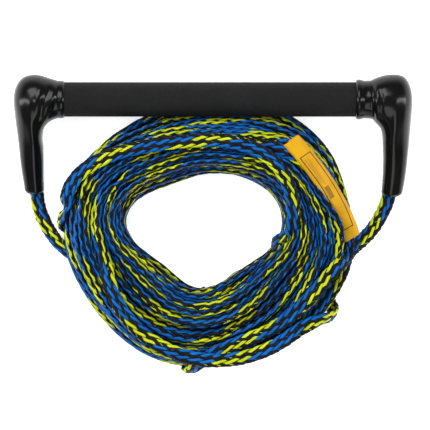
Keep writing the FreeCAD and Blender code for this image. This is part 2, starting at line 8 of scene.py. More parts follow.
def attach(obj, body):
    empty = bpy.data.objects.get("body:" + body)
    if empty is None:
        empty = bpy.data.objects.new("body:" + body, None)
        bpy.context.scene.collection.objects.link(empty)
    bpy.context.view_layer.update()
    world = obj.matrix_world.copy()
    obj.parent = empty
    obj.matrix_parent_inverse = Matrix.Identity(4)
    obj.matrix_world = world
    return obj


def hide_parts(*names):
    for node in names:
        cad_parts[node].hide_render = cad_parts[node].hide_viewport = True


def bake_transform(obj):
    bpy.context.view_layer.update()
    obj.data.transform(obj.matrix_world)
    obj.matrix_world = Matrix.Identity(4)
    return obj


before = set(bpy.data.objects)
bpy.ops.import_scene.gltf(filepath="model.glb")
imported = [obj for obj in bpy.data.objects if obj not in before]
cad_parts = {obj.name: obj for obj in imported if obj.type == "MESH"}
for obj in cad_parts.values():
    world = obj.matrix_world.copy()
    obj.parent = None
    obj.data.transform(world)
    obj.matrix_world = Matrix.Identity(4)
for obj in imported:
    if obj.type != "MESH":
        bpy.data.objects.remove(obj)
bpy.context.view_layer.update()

RNG = np.random.default_rng(11)
MM = 0.001


# ---------------------------------------------------------------- camera
cam_data = bpy.data.cameras.new("camera")
cam = bpy.data.objects.new("camera", cam_data)
bpy.context.scene.collection.objects.link(cam)
bpy.context.scene.camera = cam
HANDLE_Z = 0.027
CAM_D = 2.4
cam.location = (0.00165, -0.0653, HANDLE_Z + CAM_D)
cam.rotation_euler = (0, 0, 0)
cam_data.sensor_width = 36
cam_data.lens = 36 * CAM_D / 0.3556
cam_data.clip_end = 20

# ---------------------------------------------------------------- the coil
# Everything in this part is in millimetres. The line is a flat hollow braid, A half its width and B half its thickness.
A, B = 6.2, 2.5
CX, CY = -5.8, -84.4
NS = 24
TOP = 52.0
# outlines of the wound coil, every 10 degrees from +X
OUTER = [122.8, 122.8, 123.2, 127.4, 132.3, 134.0, 130.7, 125.7, 122.4, 119.9, 117.8, 116.6, 116.6, 119.1, 121.2, 122.4, 123.2, 123.6,
         122.4, 119.1, 116.2, 115.0, 114.5, 113.7, 112.5, 112.1, 111.6, 109.6, 107.9, 110.4, 114.5, 118.3, 121.6, 124.0, 124.5, 123.6]
INNER = [60.4, 67.0, 69.1, 68.6, 65.7, 61.2, 57.9, 55.8, 54.6, 53.8, 52.9, 51.5, 50.9, 53.2, 60.0, 66.2, 71.0, 70.5,
         63.4, 52.5, 44.7, 40.5, 38.9, 38.5, 39.7, 41.8, 43.4, 43.0, 41.0, 38.5, 36.4, 35.1, 35.6, 37.6, 43.0, 51.3]


def per(tab, th):
    t = (np.degrees(th) % 360) / 10.0
    i = np.floor(t).astype(int) % 36
    f = t - np.floor(t)
    a = np.array(tab)
    return a[i] * (1 - f) + a[(i + 1) % 36] * f


def hump(deg, mid, half, soft):
    d = np.abs((deg - mid + 180) % 360 - 180)
    return np.clip((half + soft - d) / soft, 0, 1)


def label_roll(s):
    """Lean of the label's flat side across its length, in degrees, at a distance along it."""
    return 12 - 32 * min(max((s + 5) / 51, 0), 1) ** 1.2


def relax(seed=4, iters=420, comp=0.97):
    """Lets about forty turns of the line settle against each other, the floor, the bar and the coil's outline."""
    rng = np.random.default_rng(seed)
    rows = [8, 11, 12, 9]
    zrow = [45.0, 33.0, 20.5, 8.0]
    r0 = [0.34, 0.22, 0.09, 0.45, 0.56, 0.67, 0.78, 0.90]
    r1 = list(np.linspace(0.96, 0.04, rows[1]))
    r2 = list(np.linspace(0.03, 0.97, rows[2]))
    r3 = list(np.linspace(0.82, 0.22, rows[3] - 1))
    seq = [(u, z) for z, us in zip(zrow, (r0, r1, r2, r3)) for u in us]
    seq = np.array(seq)
    turns = len(seq)
    n = turns * NS
    g = np.arange(n)
    th = math.radians(200) - g * 2 * math.pi / NS
    s = g / NS
    u = np.interp(s, np.arange(turns) + 0.5, seq[:, 0])
    zt = np.interp(s, np.arange(turns) + 0.5, seq[:, 1])
    k = np.clip(np.floor(s).astype(int), 0, turns - 1)
    zt = 0.25 * zt + 0.75 * seq[k, 1]

    def noise(amp, scale):
        m = max(4, int(n / scale))
        c = rng.normal(0, 1, m + 3)
        x = np.arange(n) / n * m
        i = np.floor(x).astype(int)
        f = x - i
        f = f * f * (3 - 2 * f)
        return amp * (c[i] * (1 - f) + c[i + 1] * f)

    u = u + noise(0.05, 9) + noise(0.02, 4)
    zt = zt + noise(2.0, 8)
    psi = noise(0.20, 7) + noise(0.06, 3)
    deg = np.degrees(th) % 360
    low = np.clip(np.sin(np.radians(deg - 195) * 180 / 130.0), 0, 1) * ((deg > 195) & (deg < 325))
    # the top turns lie over on their flat side where the coil fans out
    top = (k < 8)
    flat = np.zeros(n)
    for kk, amp in ((0, 1.45), (1, 1.2), (3, 1.35), (5, 1.3), (6, 0.7)):
        flat += np.where(k == kk, amp * np.clip(low * 1.6, 0, 1), 0)
    psi = psi + flat * top + noise(0.25, 5) * low * (k < 16)
    signed = (deg + 180) % 360 - 180
    u = np.where(k < 7, u * np.interp(signed, [-15, 2, 12, 48, 62, 85], [1, 1, 0.72, 0.62, 0.78, 1]), u)
    # on the side away from the bar the upper turns slide outwards and the ones below come up inside them
    slide = np.clip(np.sin(np.clip((deg - 192) / 138, 0, 1) * math.pi), 0, 1) ** 0.8
    u = np.where(k < 8, u + 0.30 * slide * (1 - 0.6 * u), np.where(k < 19, u - 0.10 * slide, u))
    Ro = per(OUTER, th)
    Ri = per(INNER, th)
    r = Ri + B + u * (Ro - Ri - 2 * B)
    thg = th[:NS]
    Rog, Rig = Ro[:NS], Ri[:NS]
    PR = np.concatenate([r, Rog - 8.5, Rig + B + 5.5]).reshape(turns + 2, NS)
    PZ = np.concatenate([zt, np.full(NS, A + 0.2), np.full(NS, A + 6.2)]).reshape(turns + 2, NS)
    PS = np.concatenate([psi, np.zeros(2 * NS)]).reshape(turns + 2, NS)
    TH = np.concatenate([th, thg, thg]).reshape(turns + 2, NS)
    RT, ZT = PR.copy(), PZ.copy()
    R = turns + 2
    deg = np.degrees(TH) % 360
    RO, RI = per(OUTER, TH), per(INNER, TH)
    # room for the wraps that go round the outer and the inner edge
    RO = RO - 4.5 * hump(deg, 173, 5, 12) - 3.5 * hump(deg, 263, 4, 12) - 1.5 * hump(deg, 329, 5, 12)
    RI = RI + 4.5 * hump(deg, 355, 6, 12)
    floor = 5.4 * np.maximum(hump(deg, 222, 46, 9), hump(deg, 340, 18, 9))
    main = np.zeros((R, NS), bool)
    main[:turns] = True
    left_row = np.zeros((R, NS), bool)
    left_row[turns] = True
    floor = np.where(left_row, floor, floor)
    # the turn that runs through the label
    pin = np.zeros((R, NS), bool)
    pr, pz, pp, pe = PR.copy(), PZ.copy(), PS.copy(), np.zeros((R, NS))
    for j in range(NS):
        d = deg[8, j]
        if d < 60 or d > 325:
            a = d if d < 180 else d - 360
            # distance from the centre to the label's straight axis, in this direction
            c0, dirn = np.array([92.9 - CX, -41.4 - CY]), np.array([math.cos(math.radians(-56.4)), math.sin(math.radians(-56.4))])
            nrm = np.array([-dirn[1], dirn[0]])
            ray = np.array([math.cos(math.radians(a)), math.sin(math.radians(a))])
            rr = c0 @ nrm / (ray @ nrm)
            along = (rr * ray - c0) @ dirn
            rr -= LABEL_BOW * min(abs(along) / 46, 1.1) ** 2 / (ray @ nrm)
            kk = LABEL_TURN
            if -48 < along < 49:
                pin[kk, j] = True
                pr[kk, j] = rr
                pz[kk, j] = 45.2 - math.tan(math.radians(8.5)) * along + 1.4 * (1 - (along / 46) ** 2)
                pp[kk, j] = math.radians(89 + label_roll(along))
                pe[kk, j] = 9.4 if a > 27 else 7.4
                if -1 < along:
                    # the next turn inwards lies over the label's lower edge
                    pin[kk - 1, j] = True
                    f = along / 46
                    pr[kk - 1, j] = rr - (10.3 - 5.3 * f) / (ray @ nrm)
                    pz[kk - 1, j] = 46.8 + 1.7 * f
                    pp[kk - 1, j] = 0.3 + 0.65 * f
                    pe[kk - 1, j] = 3.0
            elif 49 <= along < 95:
                pin[kk, j] = True
                pr[kk, j] = RO[kk, j] - 5.8
                pz[kk, j] = 34.0
                pp[kk, j] = math.radians(75)
                pe[kk, j] = 6.0
    idx = np.arange(R)
    for it in range(iters):
        w = it / iters
        ER = np.sqrt((B * np.cos(PS)) ** 2 + (A * np.sin(PS)) ** 2)
        EZ = np.sqrt((A * np.cos(PS)) ** 2 + (B * np.sin(PS)) ** 2)
        ER = np.where(pin, pe, ER)
        EZ = np.where(pin, 4.4, EZ)
        a = PR[:turns].reshape(-1)
        b = PZ[:turns].reshape(-1)
        q = PS[:turns].reshape(-1)
        mid = 0.5 * (RO + RI)[:turns].reshape(-1)
        lap = np.zeros_like(a)
        lap[1:-1] = 0.5 * (a[:-2] + a[2:]) - a[1:-1] - (0.5 * (mid[:-2] + mid[2:]) - mid[1:-1])
        lz = np.zeros_like(b)
        lz[1:-1] = 0.5 * (b[:-2] + b[2:]) - b[1:-1]
        sm = 0.35
        PR[:turns] = (a + sm * lap).reshape(turns, NS)
        PZ[:turns] = (b + sm * lz).reshape(turns, NS)
        pull = 0.03 * (1 - w) + 0.004
        PR += pull * (RT - PR)
        PZ += pull * (ZT - PZ)
        PZ[:turns] -= 0.03
        for rep in range(3):
            dr = PR[None] - PR[:, None]
            dz = PZ[None] - PZ[:, None]
            er = (ER[None] + ER[:, None]) * comp
            ez = (EZ[None] + EZ[:, None]) * comp
            qq = np.sqrt((dr / er) ** 2 + (dz / ez) ** 2) + 1e-9
            ov = np.clip(1 - qq, 0, None)
            ov[idx, idx] = 0
            PR += (ov * dr / qq).sum(0) * 0.42
            PZ += (ov * dz / qq).sum(0) * 0.42
            t = np.clip((PZ - 20) / (TOP - 20), 0, 1.2)
            bb = np.clip((12 - PZ) / 12, 0, 1)
            lo = RI + 11.0 * np.clip((PZ - 24) / (TOP - 24), 0, 1.2) ** 2.4 + 4.0 * bb ** 2 + ER
            hi = RO - 17.0 * t ** 2.6 - 6.0 * bb ** 2 - ER
            PR = np.minimum(np.maximum(PR, lo), hi)
            PZ = np.minimum(np.maximum(PZ, floor + EZ), TOP + 1.5 - EZ)
            # the bar swings up about the hinge line, so the turns under its way stay inside or below it
            y = CY + PR * np.sin(TH)
            D = np.hypot(y + 56.2, PZ - 6.5)
            lim = math.hypot(86.5, 20.48) - 14.3 - 0.6 - 0.375 * (ER + EZ)
            bad = (D > lim) & (y > 0) & (np.sin(TH) > 0)
            under = bad & (y > 30.3 - 14.3 - 6) & (PZ < 26.98 - 14.3 + 3)
            PZ = np.where(under, np.minimum(PZ, np.maximum(26.98 - 14.3 - 0.5 - EZ, EZ)), PZ)
            inn = bad & ~under
            PR = np.where(inn, PR - (D - lim) * np.abs(y + 56.2) / np.maximum(D, 1) * 0.7, PR)
            PZ = np.where(inn, PZ - (D - lim) * (PZ - 6.5) / np.maximum(D, 1) * 0.7, PZ)
            PR = np.where(pin, pr, PR)
            PZ = np.where(pin, pz, PZ)
        PS = np.where(pin, pp, PS)
        q = PS[:turns].reshape(-1)
        lq = np.zeros_like(q)
        lq[1:-1] = 0.5 * (q[:-2] + q[2:]) - q[1:-1]
        if it % 12 == 0:
            PS[:turns] = (q + 0.5 * lq).reshape(turns, NS)
            PS = np.where(pin, pp, PS)
    ER = np.sqrt((B * np.cos(PS)) ** 2 + (A * np.sin(PS)) ** 2)
    EZ = np.sqrt((A * np.cos(PS)) ** 2 + (B * np.sin(PS)) ** 2)
    # spread the turns so that the innermost and outermost ones touch the outlines
    midz = (PZ > 8) & (PZ < 40) & main
    gi = np.where(midz, PR - ER, 1e3).min(0) - RI[0]
    go = RO[0] - np.where(midz, PR + ER, -1e3).max(0)
    for _ in range(2):
        gi = 0.25 * np.roll(gi, 1) + 0.5 * gi + 0.25 * np.roll(gi, -1)
        go = 0.25 * np.roll(go, 1) + 0.5 * go + 0.25 * np.roll(go, -1)
    gi, go = np.clip(gi, 0, 9), np.clip(go, 0, 0.8 + 2.2 * hump(np.degrees(TH[0]) % 360, 200, 100, 20) + 6.0 * hump(np.degrees(TH[0]) % 360, 318, 24, 24))
    u = np.clip((PR - RI) / (RO - RI), 0, 1)
    bar = (CY + PR * np.sin(TH) > -2) & (PZ > 12)
    PR = np.where(pin, PR, PR - gi * (1 - u) ** 1.3 + np.where(bar, 0, go * u ** 1.3))
    # turns on the far side of a gap close up to the rest
    for _ in range(4):
        S = np.zeros_like(PR)
        for j in range(NS):
            order = np.argsort(PR[:turns, j] - ER[:turns, j])
            reach = -1e3
            for k_ in order:
                a0 = PR[k_, j] - ER[k_, j]
                if reach > 0 and a0 > reach - 0.8:
                    S[:turns, j] = np.where(PR[:turns, j] >= PR[k_, j], S[:turns, j] - (a0 - reach + 0.8), S[:turns, j])
                reach = max(reach, PR[k_, j] + ER[k_, j])
        q = S[:turns].reshape(-1)
        for _i in range(2):
            q[1:-1] = 0.25 * q[:-2] + 0.5 * q[1:-1] + 0.25 * q[2:]
        q = q.reshape(turns, NS)
        PR[:turns] = np.where(pin[:turns], PR[:turns], PR[:turns] + np.clip(q, -4, 0))
    lowest = np.where(main & (PZ < 18), PR + ER, -1e3).max(0)
    for _ in range(2):
        lowest = 0.25 * np.roll(lowest, 1) + 0.5 * lowest + 0.25 * np.roll(lowest, -1)
    PR[turns] = np.clip(lowest + 2.2, PR[turns] - 9, PR[turns] + 1.5)
    return dict(turns=turns, PR=PR, PZ=PZ, PS=PS, TH=TH, ER=ER, EZ=EZ, RO=RO, RI=RI, ov=ov)


LABEL_TURN = 7
LABEL_BOW = 3.5
C = relax()
TURNS = C["turns"]
OFF = float(C["TH"][0, 0])


def at(row, deg, key):
    """Value of one row of the coil in a direction."""
    v = C[key][row]
    t = ((OFF - math.radians(deg)) / (2 * math.pi) * NS) % NS
    i = int(t)
    f = t - i
    return float(v[i % NS] * (1 - f) + v[(i + 1) % NS] * f)


def height(x, y, half=3.0):
    """Height of the top of the wound turns under a point."""
    r = math.hypot(x - CX, y - CY)
    d = math.degrees(math.atan2(y - CY, x - CX))
    t = ((OFF - math.radians(d)) / (2 * math.pi) * NS) % NS
    i = int(t)
    f = t - i
    j = (i + 1) % NS
    rr = C["PR"][:, i] * (1 - f) + C["PR"][:, j] * f
    zz = C["PZ"][:, i] * (1 - f) + C["PZ"][:, j] * f
    er = C["ER"][:, i] * (1 - f) + C["ER"][:, j] * f
    ez = C["EZ"][:, i] * (1 - f) + C["EZ"][:, j] * f
    q = np.clip((np.abs(rr - r) - half) / er, 0, 1)
    top = np.where(q < 1, zz + ez * np.sqrt(1 - q * q), 0)
    return float(top.max())


def px(x, y):
    return (x - 213) * 0.827, (136 - y) * 0.827


UP = np.array([0, 0, 1.0])


class Route:
    """Control points of one rope, each with the direction of its wide side."""

    def __init__(self):
        self.p, self.w = [], []

    def add(self, p, w):
        p, w = np.array(p, float), np.array(w, float)
        w = w / np.linalg.norm(w)
        if self.w and self.w[-1] @ w < 0:
            w = -w
        self.p.append(p)
        self.w.append(w)


def polar(deg, r, z):
    a = math.radians(deg)
    return (CX + r * math.cos(a), CY + r * math.sin(a), z)


def radial(deg):
    a = math.radians(deg)
    return np.array([math.cos(a), math.sin(a), 0.0])


def tangent(deg):
    a = math.radians(deg)
    return np.array([-math.sin(a), math.cos(a), 0.0])


def lay_flat(route, pts, clear=2.7, smooth=2):
    """Points over the top of the coil: (x, y) or (x, y, z); the rope lies on its flat side there."""
    P = []
    for q in pts:
        if len(q) == 2:
            x, y = q
            z = max(height(x, y, 3.5), height(x - 3, y, 3), height(x + 3, y, 3), height(x, y - 3, 3), height(x, y + 3, 3)) + clear
            P.append([x, y, z, 1])
        else:
            P.append([q[0], q[1], q[2], 0])
    P = np.array(P)
    for _ in range(smooth):
        z = P[:, 2].copy()
        for i in range(1, len(P) - 1):
            if P[i, 3]:
                z[i] = max(0.25 * P[i - 1, 2] + 0.5 * P[i, 2] + 0.25 * P[i + 1, 2], P[i, 2] - 0.6)
        P[:, 2] = z
    for i in range(len(P)):
        a, b = P[max(i - 1, 0), :3], P[min(i + 1, len(P) - 1), :3]
        t = (b - a) / np.linalg.norm(b - a)
        w = np.cross(t, UP)
        route.add(P[i, :3], w)


# --- main line: spliced loop on the floor, round the outer left edge, over the top, round the right side, and into the turns
main = Route()
LOOP_R, LOOP_H = 83.0, 12.0
end_deg, start_deg = 257.0, 180.0
main.add(polar(start_deg + 6, LOOP_R + 1.0, 3.0), radial(start_deg))
for d in np.arange(start_deg + 14, end_deg - 9, 9.0):
    main.add(polar(d, LOOP_R - LOOP_H * math.sin(math.radians((d - start_deg) / (end_deg - start_deg) * 180)) ** 0.6, 2.8), radial(d))
for a in (-80, -45, -10, 25, 60, 85):
    d = end_deg - 6 + 6 * math.cos(math.radians(a))
    main.add(polar(d, LOOP_R + (LOOP_H - 0.5) * math.sin(math.radians(a)), 2.8), radial(d) * math.sin(math.radians(a)) + tangent(d) * math.cos(math.radians(a)))
for d in np.arange(end_deg - 10, start_deg + 10, -9.0):
    main.add(polar(d, LOOP_R + LOOP_H * math.sin(math.radians((d - start_deg) / (end_deg - start_deg) * 180)) ** 0.6, 2.8), radial(d))
main.add(polar(184, LOOP_R + 7.5, 2.9), radial(182))
main.add(polar(179.5, LOOP_R + 19, 2.9), radial(180) + 0.8 * tangent(180))
main.add(polar(176, 113.5, 3.3), tangent(176))
ro = at(0, 174, "RO")
main.add(polar(174.6, ro + 1.6, 7.5), tangent(174))
main.add(polar(173.3, ro + 3.4, 17), tangent(173))
main.add(polar(172.0, ro + 2.4, 29), tangent(172))
main.add(polar(170.0, ro - 3.0, 41), tangent(170) + 0.15 * radial(170))
x, y = px(70, 190)
lay_flat(main, [px(67, 195), px(74, 182), px(83, 172), px(96, 163), px(111, 156), px(127, 151), px(145, 147.5), px(165, 144), px(185, 142), px(205, 140.5), px(224, 141),
                px(243, 145), px(261, 152.5), px(275, 163.5), px(285, 178), px(290.5, 194), px(293, 210), px(293, 225)])
main.add((*px(288.5, 236), 43.5), tangent(2) + 0.4 * radial(2))
ri = at(0, 356, "RI")
main.add(polar(-3.0, ri - 2.6, 33), tangent(356))
main.add(polar(-5.2, ri - 4.2, 20), tangent(355))
main.add(polar(-7.0, ri - 2.0, 8.5), tangent(353))
main.add((*px(297, 259), 3.0), np.cross(np.array([1, -0.8, 0]), UP))
main.add((*px(309, 275), 2.8), np.cross(np.array([1, -1.2, 0]), UP))
main.add((*px(321, 291), 2.8), np.cross(np.array([1, -1.3, 0]), UP))
main.add((*px(330, 303), 3.4), np.cross(np.array([1, -1.2, 0]), UP))
ro = at(0, 329, "RO")
main.add(polar(330.6, ro + 0.6, 8.0), tangent(330))
main.add(polar(329.6, ro + 2.0, 19), tangent(329))
main.add(polar(328.0, ro + 0.8, 31), tangent(328))
main.add(polar(325.5, ro - 5.5, 42.5), tangent(326) + 0.25 * radial(326))
# along the upper turns, drifting inwards to where the first wound turn begins
r1 = float(C["PR"][0, 1])
lay_flat(main, [polar(d, r1 + (ro - 15 - r1) * ((d - 196) / 122.0) ** 0.8, 0)[:2] for d in np.arange(317, 196, -9.5)])
for gi in range(TURNS * NS):
    row, j = divmod(gi, NS)
    th = C["TH"].reshape(-1)[gi]
    if gi < 1:
        continue
    dg = math.degrees(th)
    ps = C["PS"].reshape(-1)[gi]
    main.add(polar(dg, C["PR"].reshape(-1)[gi], C["PZ"].reshape(-1)[gi]), math.cos(ps) * UP + math.sin(ps) * radial(dg))
MAIN_END = main.p[-1]

# --- bridle legs: the same points as the CAD routes, then on into or over the coil
LEG_L = [(-146.0, -56.2, 6.5), (-143.0, -65.8, 6.3), (-138.7, -74.8, 6.5), (-133.3, -83.3, 7.1), (-126.9, -90.9, 8.1), (-119.5, -97.5, 9.5)]
LEG_R = [(144.7, -56.2, 6.5), (140.3, -65.4, 8.2), (135.1, -73.8, 11.2), (129.2, -81.2, 15.4), (122.7, -87.3, 20.7), (116.0, -92.0, 27.0)]
left = Route()
left.add((-147.0, -38.0, 6.8), (1, 0, 0.1))
left.add((-146.9, -46.8, 6.6), (1, 0, 0.15))
wl = [(1, 0.2, 0.2), (1, 0.4, 0.25), (1, 0.55, 0.3), (1, 0.75, 0.45), (0.9, 0.9, 0.7), (0.75, 0.75, 1.0)]
for p, w in zip(LEG_L, wl):
    left.add(p, w)
left.add((*px(76.5, 262), 8.8), (0.5, 0.4, 1.0))
left.add((*px(82.0, 277), 8.4), (0.2, 0.1, 1.0))
LROW, RROW = TURNS, TURNS + 1
for d in np.arange(212, 212 + 312, 13.0):
    left.add(polar(d, at(LROW, d, "PR"), at(LROW, d, "PZ")), UP)
right = Route()
right.add((147.6, -38.0, 6.8), (1, 0, 0.1))
right.add((147.4, -46.8, 6.4), (1, 0, 0.1))
wl = [(1, -0.25, 0.1), (1, -0.45, 0.15), (1, -0.6, 0.15), (1, -0.8, 0.1), (1, -1.0, 0.05), (1, -1.05, 0.05)]
for p, w in zip(LEG_R, wl):
    right.add(p, w)
right.add((*px(346.5, 255.5), 36.0), (1, -0.95, 0.05))
lay_flat(right, [px(338, 264), px(328.5, 274), px(319.5, 284.5), px(310.5, 295), px(300.5, 305.5), px(289, 316), px(276, 325.5), px(261, 333), px(245, 339), px(229, 345), px(214, 352)])
ro = at(0, 262, "RO")
right.add((*px(202.5, 359.5), 43.0), tangent(262))
right.add(polar(264.0, ro + 0.5, 34), tangent(263))
right.add(polar(262.6, ro + 3.2, 22), tangent(262))
right.add(polar(262.0, ro + 2.0, 10), tangent(262))
right.add(polar(262.5, ro - 7.0, 3.2), tangent(262))
for r_ in (94, 81, 68):
    right.add(polar(263.5, r_ if r_ < 90 else r_, 2.8), tangent(263))
ri = at(0, 264, "RI")
right.add(polar(264.5, ri + 7, 3.6), tangent(264))
right.add(polar(266.5, ri + 1.0, 10), tangent(266) + 0.6 * UP)
for d in np.arange(276, 276 + 250, 14.0):
    right.add(polar(d, at(RROW, d, "PR") - 1.5, at(RROW, d, "PZ")), UP)


# ---------------------------------------------------------------- from control points to sampled lines
def spline(name, route, res=8):
    """The rope's own line: an order 3 NURBS spline with the route's points as its control points."""
    cu = bpy.data.curves.new(name, "CURVE")
    cu.dimensions = "3D"
    cu.resolution_u = res
    sp = cu.splines.new("NURBS")
    sp.points.add(len(route.p) - 1)
    flat = np.ones((len(route.p), 4))
    flat[:, :3] = np.array(route.p) * MM
    sp.points.foreach_set("co", flat.ravel())
    sp.order_u = 3
    sp.use_endpoint_u = True
    sp.resolution_u = res
    ob = bpy.data.objects.new(name, cu)
    bpy.context.scene.collection.objects.link(ob)
    bpy.context.view_layer.update()
    me = bpy.data.meshes.new_from_object(ob)
    co = np.zeros(len(me.vertices) * 3)
    me.vertices.foreach_get("co", co)
    co = co.reshape(-1, 3)
    bpy.data.objects.remove(ob)
    bpy.data.curves.remove(cu)
    bpy.data.meshes.remove(me)
    return co / MM


def sampled(name, route, step, res=8):
    P = spline(name, route, res)
    n = len(route.p)
    u = np.linspace(0, n - 2, len(P))
    gre = np.concatenate([[0], np.arange(n - 2) + 0.5, [n - 2]])
    Wc = np.array(route.w)
    W = np.stack([np.interp(u, gre, Wc[:, k]) for k in range(3)], 1)
    d = np.linalg.norm(np.diff(P, axis=0), axis=1)
    keep = np.concatenate([[True], d > 1e-6])
    P, W = P[keep], W[keep]
    d = np.linalg.norm(np.diff(P, axis=0), axis=1)
    s = np.concatenate([[0], np.cumsum(d)])
    m = int(round(s[-1] / step))
    q = np.linspace(0, s[-1], m + 1)
    P = np.stack([np.interp(q, s, P[:, k]) for k in range(3)], 1)
    W = np.stack([np.interp(q, s, W[:, k]) for k in range(3)], 1)
    for _ in range(3):
        W[1:-1] = 0.25 * W[:-2] + 0.5 * W[1:-1] + 0.25 * W[2:]
    P2 = P.copy()
    for _ in range(2):
        P2[1:-1] = 0.25 * P2[:-2] + 0.5 * P2[1:-1] + 0.25 * P2[2:]
    T = np.gradient(P2, axis=0)
    T /= np.linalg.norm(T, axis=1)[:, None]
    W = W - (W * T).sum(1)[:, None] * T
    W /= np.linalg.norm(W, axis=1)[:, None]
    H = np.cross(T, W)
    return dict(P=P2, T=T, W=W, H=H, s=q, length=float(s[-1]))


STEP = 2.6
L_MAIN = sampled("main_line", main, STEP)
L_LEFT = sampled("left_line", left, STEP)
L_RIGHT = sampled("right_line", right, STEP)
print("lengths mm", round(L_MAIN["length"]), round(L_LEFT["length"]), round(L_RIGHT["length"]))

# ---------------------------------------------------------------- braid
EA, EB = 5.15, 1.5        # the oval that the strands lie on
HS, TS = 0.42, 0.54       # rise and fall of a strand, half its thickness
PITCH = 80.0
_t = np.linspace(0, 2 * math.pi, 721)
_seg = np.hypot(np.diff(EA * np.cos(_t)), np.diff(EB * np.sin(_t)))
_cum = np.concatenate([[0], np.cumsum(_seg)])
PERIM = _cum[-1]


def oval(f):
    """Angle on the oval for a share f of its edge."""
    return np.interp((f % 1.0) * PERIM, _cum, _t)


def mesh_from(name, V, F, mats, smooth=True):
    me = bpy.data.meshes.new(name)
    nf, k = F.shape
    me.vertices.add(len(V))
    me.vertices.foreach_set("co", np.ascontiguousarray(V, dtype=np.float32).ravel())
    me.loops.add(nf * k)
    me.loops.foreach_set("vertex_index", np.ascontiguousarray(F, dtype=np.int32).ravel())
    me.polygons.add(nf)
    me.polygons.foreach_set("loop_start", np.arange(0, nf * k, k, dtype=np.int32))
    me.polygons.foreach_set("loop_total", np.full(nf, k, dtype=np.int32))
    me.update(calc_edges=True)
    if smooth:
        me.polygons.foreach_set("use_smooth", np.ones(nf, dtype=bool))
    ob = bpy.data.objects.new(name, me)
    bpy.context.scene.collection.objects.link(ob)
    for m in mats:
        me.materials.append(m)
    return ob


SEC = np.array([(-1.0, -0.15), (-0.62, 0.72), (0.0, 1.0), (0.62, 0.72), (1.0, -0.15), (0.0, -0.8)])


def wander(n, span, rng):
    """Smooth random values along a line, one knot every span samples."""
    m = max(4, int(n / span))
    c = rng.normal(0, 1, m + 3)
    x = np.arange(n) / n * m
    i = np.floor(x).astype(int)
    f = x - i
    f = f * f * (3 - 2 * f)
    return c[i] * (1 - f) + c[i + 1] * f


def strands(L, which, hand, wid):
    """Vertices and faces of the strands (numbers in which) of one hand of lay."""
    n = len(L["P"])
    Vs, Fs, along, base = [], [], [], 0
    m = len(SEC)
    for k in which:
        f = k / 8.0 + 1 / 32.0 + hand * L["s"] / PITCH + 0.006 * wander(n, 8, RNG)
        t = oval(f)
        ct, st = np.cos(t), np.sin(t)
        E = EA * ct[:, None] * L["W"] + EB * st[:, None] * L["H"]
        N = EB * ct[:, None] * L["W"] + EA * st[:, None] * L["H"]
        N /= np.linalg.norm(N, axis=1)[:, None]
        c = np.cos(8 * math.pi * (f - 1 / 16.0))
        h = np.clip(c * 1.7, -1, 1) * HS * hand + 0.07 * wander(n, 5, RNG)
        wide = wid * (1 + 0.10 * wander(n, 6, RNG))
        high = TS * (1 + 0.12 * wander(n, 7, RNG))
        Cn = L["P"] + E + h[:, None] * N
        T = np.gradient(Cn, axis=0)
        T /= np.linalg.norm(T, axis=1)[:, None]
        X = np.cross(T, N)
        X /= np.linalg.norm(X, axis=1)[:, None]
        ring = Cn[:, None] + SEC[None, :, 0, None] * wide[:, None, None] * X[:, None] + SEC[None, :, 1, None] * high[:, None, None] * N[:, None]
        Vs.append(ring.reshape(-1, 3))
        i = np.arange(n - 1)[:, None] * m + np.arange(m)[None]
        j = np.arange(n - 1)[:, None] * m + (np.arange(m)[None] + 1) % m
        q = np.stack([i, j, j + m, i + m], -1).reshape(-1, 4) + base
        caps = [base + np.array([0, 5, 4, 3]), base + np.array([0, 3, 2, 1]), base + (n - 1) * m + np.array([0, 1, 2, 3]), base + (n - 1) * m + np.array([0, 3, 4, 5])]
        Fs.append(q)
        Fs.append(np.array(caps))
        base += n * m
        a = np.repeat(L["s"], m)
        along.append(np.stack([a * MM, np.tile(np.arange(m) / m, n), np.full(n * m, float(k))], 1))
    return np.concatenate(Vs) * MM, np.concatenate(Fs), np.concatenate(along)


def sleeve(name, L, mat, sides=8, ea=EA - 0.05, eb=EB - 0.05):
    n = len(L["P"])
    t = np.linspace(0, 2 * math.pi, sides, endpoint=False)
    ring = L["P"][:, None] + ea * np.cos(t)[None, :, None] * L["W"][:, None] + eb * np.sin(t)[None, :, None] * L["H"][:, None]
    V = ring.reshape(-1, 3) * MM
    i = np.arange(n - 1)[:, None] * sides + np.arange(sides)[None]
    j = np.arange(n - 1)[:, None] * sides + (np.arange(sides)[None] + 1) % sides
    F = np.stack([i, j, j + sides, i + sides], -1).reshape(-1, 4)
    ends = []
    for b0, flip in ((0, True), ((n - 1) * sides, False)):
        for q in ([0, 1, 2, 3], [0, 3, 4, 5], [0, 5, 6, 7]):
            q = [b0 + v for v in q]
            ends.append(q[::-1] if flip else q)
    F = np.concatenate([F, np.array(ends)])
    return mesh_from(name, V, F, [mat])


# ---------------------------------------------------------------- materials
def material(name):
    m = bpy.data.materials.new(name)
    m.use_nodes = True
    nt = m.node_tree
    nt.nodes.clear()
    out = nt.nodes.new("ShaderNodeOutputMaterial")
    p = nt.nodes.new("ShaderNodeBsdfPrincipled")
    nt.links.new(p.outputs[0], out.inputs[0])
    return m, nt, p


def node(nt, kind, **kw):
    n = nt.nodes.new(kind)
    for k, v in kw.items():
        if isinstance(v, (int, float, str, bool, tuple)) and hasattr(n, k):
            setattr(n, k, v)
    return n


def ramp(nt, stops):
    n = nt.nodes.new("ShaderNodeValToRGB")
    e = n.color_ramp.elements
    e[0].position, e[0].color = stops[0][0], (*stops[0][1], 1)
    e[1].position, e[1].color = stops[-1][0], (*stops[-1][1], 1)
    for pos, col in stops[1:-1]:
        x = e.new(pos)
        x.color = (*col, 1)
    return n


